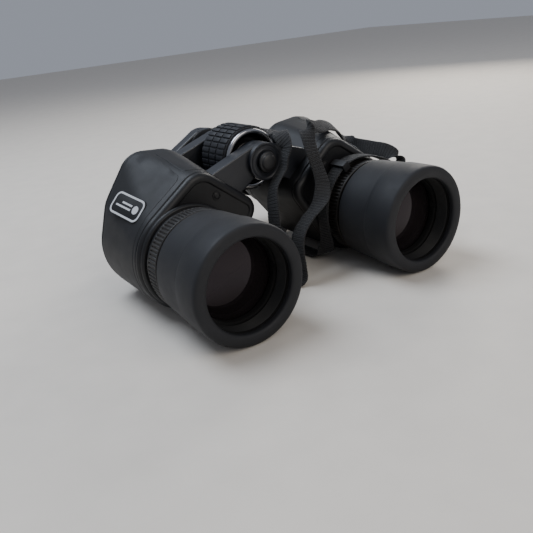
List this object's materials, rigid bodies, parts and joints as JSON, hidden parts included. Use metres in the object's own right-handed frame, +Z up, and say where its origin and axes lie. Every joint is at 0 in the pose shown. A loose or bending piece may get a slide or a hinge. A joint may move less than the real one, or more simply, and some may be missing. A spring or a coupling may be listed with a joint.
{
  "type": "astronomy binoculars",
  "caption": "Porro prism binoculars with rubber-sleeved objectives, central focus wheel, dioptre ring, folding eyecups, tripod socket cap and a webbing neck strap.",
  "frame": {"origin": "on the surface that the housings and objective rims rest on, below the middle of the object's box without its neck strap", "axes": "+Z up, the objectives look along -Y and the eyepieces along +Y, the hinge axis runs along Y, +X towards the left half"},
  "size_m": [0.195, 0.178, 0.092],
  "materials": {
    "housing": "satin",
    "covering": "fine matt grain",
    "cover": "satin",
    "cap": "matt",
    "sleeve_rubber": "smooth matt",
    "eyecup_rubber": "matt",
    "tread_rubber": "matt, raised pads",
    "ribbed_ring": "ribbed",
    "inner": "baffled matt",
    "coated_glass": "coated, polished",
    "clear_glass": "polished",
    "tube_metal": "black anodised",
    "chrome": "polished",
    "steel": "satin",
    "brass": "turned",
    "badge": "printed border on black",
    "webbing": "ribbed woven nylon"
  },
  "bodies": {
    "right_half": {"right_prism_body": "housing", "right_side_skin": "covering", "right_front_cover": "cover", "right_rear_cover": "cover", "right_badge": "badge", "right_objective_barrel": "inner", "right_rubber_sleeve": "sleeve_rubber", "right_knurled_ring": "ribbed_ring", "right_objective_lens": "coated_glass", "right_lens_retainer": "inner", "right_rear_prism": "clear_glass", "right_front_prism": "clear_glass", "right_prism_shelf": "inner", "right_eyepiece_guide": "cover", "right_strap_lug": "cover", "hinge_axle": "steel", "tripod_socket": "brass", "strap_right_run": "webbing"},
    "left_half": {"left_prism_body": "housing", "left_side_skin": "covering", "left_front_cover": "cover", "left_rear_cover": "cover", "left_badge": "badge", "left_objective_barrel": "inner", "left_rubber_sleeve": "sleeve_rubber", "left_knurled_ring": "ribbed_ring", "left_objective_lens": "coated_glass", "left_lens_retainer": "inner", "left_rear_prism": "clear_glass", "left_front_prism": "clear_glass", "left_prism_shelf": "inner", "left_eyepiece_guide": "cover", "left_strap_lug": "cover", "strap_left_run": "webbing", "strap_slider": "cover"},
    "focus_wheel": {"focus_wheel_core": "cover", "focus_wheel_tread": "tread_rubber", "focus_wheel_trim": "chrome"},
    "right_ocular": {"right_bridge_arm": "cover", "right_eyepiece_tube": "tube_metal", "focus_spindle": "steel"},
    "left_ocular": {"left_bridge_arm": "cover", "left_eyepiece_tube": "tube_metal", "left_ocular_body": "cover", "left_eye_lens": "coated_glass"},
    "dioptre_cell": {"right_ocular_body": "cover", "right_eye_lens": "coated_glass"},
    "dioptre_ring": {"dioptre_ring": "tread_rubber"},
    "right_eyecup": {"right_eyecup": "eyecup_rubber"},
    "left_eyecup": {"left_eyecup": "eyecup_rubber"},
    "cap_stud": {"tripod_cap_stud": "cover"},
    "cap": {"tripod_cap": "cap"}
  },
  "joints": [
    {"name": "hinge_fold", "type": "hinge", "parent": "right_half", "child": "left_half", "pos_m": [0, 0, 0.072], "axis": [0, 1, 0], "range_deg": [-10, 24]},
    {"name": "focus_turn", "type": "hinge", "parent": "right_half", "child": "focus_wheel", "pos_m": [0, 0, 0.072], "axis": [0, 1, 0], "range_deg": [-200, 200]},
    {"name": "right_focus_travel", "type": "slide", "parent": "right_half", "child": "right_ocular", "axis": [0, 1, 0], "range_m": [-0.004, 0.004]},
    {"name": "left_focus_travel", "type": "slide", "parent": "left_half", "child": "left_ocular", "axis": [0, 1, 0], "range_m": [-0.004, 0.004]},
    {"name": "dioptre_travel", "type": "slide", "parent": "right_ocular", "child": "dioptre_cell", "axis": [0, 1, 0], "range_m": [-0.0012, 0.0012]},
    {"name": "dioptre_turn", "type": "hinge", "parent": "dioptre_cell", "child": "dioptre_ring", "pos_m": [-0.035, 0, 0.0485], "axis": [0, 1, 0], "range_deg": [-60, 60]},
    {"name": "right_eyecup_fold", "type": "slide", "parent": "dioptre_cell", "child": "right_eyecup", "axis": [0, -1, 0], "range_m": [0, 0.007]},
    {"name": "left_eyecup_fold", "type": "slide", "parent": "left_ocular", "child": "left_eyecup", "axis": [0, -1, 0], "range_m": [0, 0.007]},
    {"name": "cap_travel", "type": "slide", "parent": "right_half", "child": "cap_stud", "axis": [0, -1, 0], "range_m": [0, 0.0076]},
    {"name": "cap_turn", "type": "hinge", "parent": "cap_stud", "child": "cap", "pos_m": [0, 0, 0.072], "axis": [0, -1, 0], "range_deg": [0, 2160]}
  ],
  "couplings": [
    {"joint": "right_focus_travel", "follows": "focus_turn", "m_per_rad": 0.00114},
    {"joint": "left_focus_travel", "follows": "focus_turn", "m_per_rad": 0.00114},
    {"joint": "dioptre_turn", "follows": "dioptre_travel", "rad_per_m": 870},
    {"joint": "cap_turn", "follows": "cap_travel", "rad_per_m": 4947}
  ]
}
